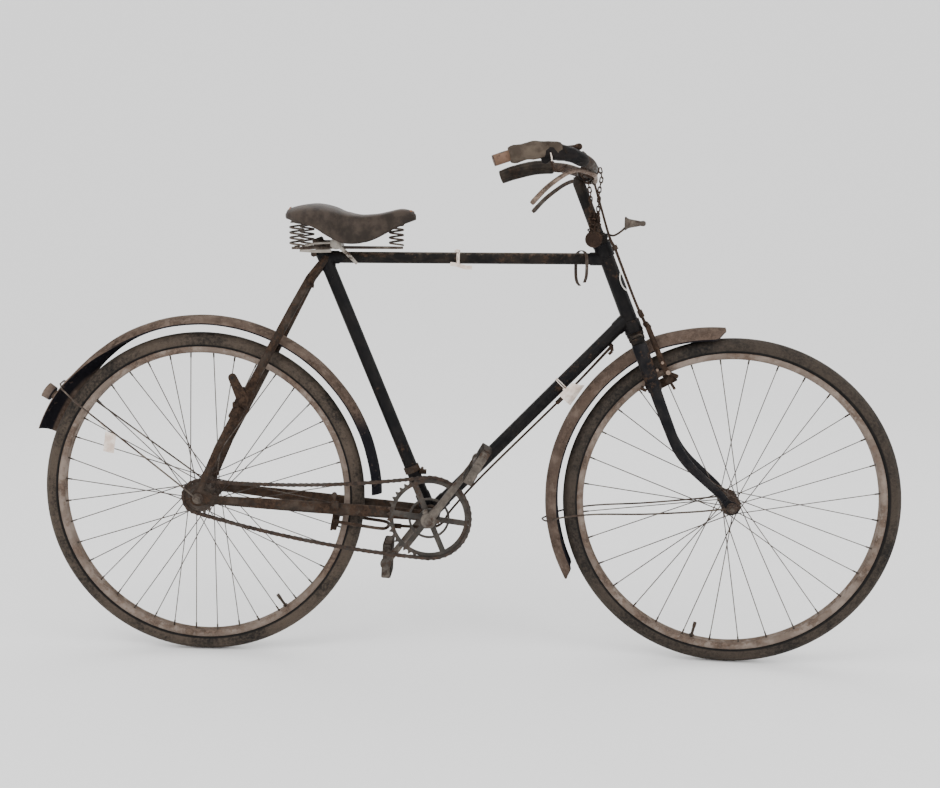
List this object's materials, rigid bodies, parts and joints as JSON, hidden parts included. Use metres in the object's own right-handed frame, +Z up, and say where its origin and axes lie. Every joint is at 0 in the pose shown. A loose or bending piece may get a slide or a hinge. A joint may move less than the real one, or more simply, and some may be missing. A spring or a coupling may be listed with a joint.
{
  "type": "roadster bicycle",
  "caption": "Weathered roadster bicycle with rod brakes, sprung leather saddle, wire wheels, steel mudguards, and a security chain hung on its handlebar.",
  "frame": {"origin": "top of the saddle, over its widest part and on the bicycle's middle plane", "axes": "+X towards the front wheel, +Y to the rider's left, +Z up; both tyres rest at z = -0.992"},
  "size_m": [1.8666, 0.5013, 1.1073],
  "materials": {
    "black_enamel": "worn black stove enamel, chipped and rusty",
    "rust": "heavy matt brown rust",
    "rusty_steel": "dull steel with brown rust",
    "worn_chrome": "pitted and dusty plating",
    "old_rubber": "dry cracked rubber",
    "tyre": "dusty, perished black rubber",
    "leather": "dry dark brown leather with worn ridges",
    "label": "stained card and string, blank"
  },
  "bodies": {
    "frame": {"head_tube": "black_enamel", "top_tube": "black_enamel", "down_tube": "black_enamel", "seat_tube": "black_enamel", "bottom_bracket_shell": "rust", "chain_stay_right": "rust", "chain_stay_left": "rust", "seat_stay_right": "rust", "seat_stay_left": "rust", "rear_axle": "rusty_steel", "seat_post": "rusty_steel", "saddle_leather": "leather", "saddle_frame": "worn_chrome", "saddle_spring_right": "rust", "saddle_spring_left": "rust", "saddle_spring_front": "rust", "rear_mudguard": "rust", "rear_mudguard_stay": "rusty_steel", "rear_lamp": "rust", "rear_brake_stirrup": "rust", "rear_brake_rod": "rust", "chain": "rust", "dynamo_bracket": "rust", "band_clip": "rust", "top_tube_label": "label", "stay_label": "label", "down_tube_label": "label"},
    "steering": {"fork_crown": "black_enamel", "fork_blade_right": "black_enamel", "fork_blade_left": "black_enamel", "front_axle": "rusty_steel", "stem": "black_enamel", "handlebar": "rusty_steel", "grip_right": "old_rubber", "grip_left": "old_rubber", "brake_lever_right": "worn_chrome", "brake_lever_left": "worn_chrome", "front_brake_rod": "rust", "front_brake_stirrup": "rust", "horn_cup": "rusty_steel", "front_mudguard": "rust", "front_mudguard_stay": "rusty_steel", "security_chain": "rust", "padlock": "rust"},
    "front_wheel": {"front_tyre": "tyre", "front_wheel": "rusty_steel"},
    "rear_wheel": {"rear_tyre": "tyre", "rear_wheel": "rusty_steel"},
    "sprocket": {"rear_sprocket": "rust"},
    "cranks": {"chainring": "worn_chrome", "crank_right": "worn_chrome", "crank_left": "worn_chrome"},
    "right_pedal": {"pedal_right": "old_rubber"},
    "left_pedal": {"pedal_left": "old_rubber"}
  },
  "joints": [
    {"name": "steering", "type": "hinge", "parent": "frame", "child": "steering", "pos_m": [0.6515, 0, -0.225], "axis": [-0.3674, 0, 0.9301], "range_deg": [-46.1, 53.9]},
    {"name": "front_wheel_spin", "type": "hinge", "parent": "steering", "child": "front_wheel", "pos_m": [0.88087, -0.00424, -0.63655], "axis": [0.0633, 0.9977, 0.025], "continuous": true},
    {"name": "rear_wheel_spin", "type": "hinge", "parent": "frame", "child": "rear_wheel", "pos_m": [-0.262, 0, -0.6365], "axis": [0, 1, 0], "continuous": true},
    {"name": "crank_spin", "type": "hinge", "parent": "frame", "child": "cranks", "pos_m": [0.2372, 0, -0.6738], "axis": [0, 1, 0], "continuous": true},
    {"name": "sprocket_spin", "type": "hinge", "parent": "frame", "child": "sprocket", "pos_m": [-0.262, 0, -0.6365], "axis": [0, 1, 0], "continuous": true},
    {"name": "right_pedal_spin", "type": "hinge", "parent": "cranks", "child": "right_pedal", "pos_m": [0.34092, 0, -0.53911], "axis": [0, 1, 0], "continuous": true},
    {"name": "left_pedal_spin", "type": "hinge", "parent": "cranks", "child": "left_pedal", "pos_m": [0.13348, 0, -0.80849], "axis": [0, 1, 0], "continuous": true}
  ],
  "couplings": [
    {"joint": "sprocket_spin", "follows": "crank_spin", "ratio": 2.4444}
  ]
}
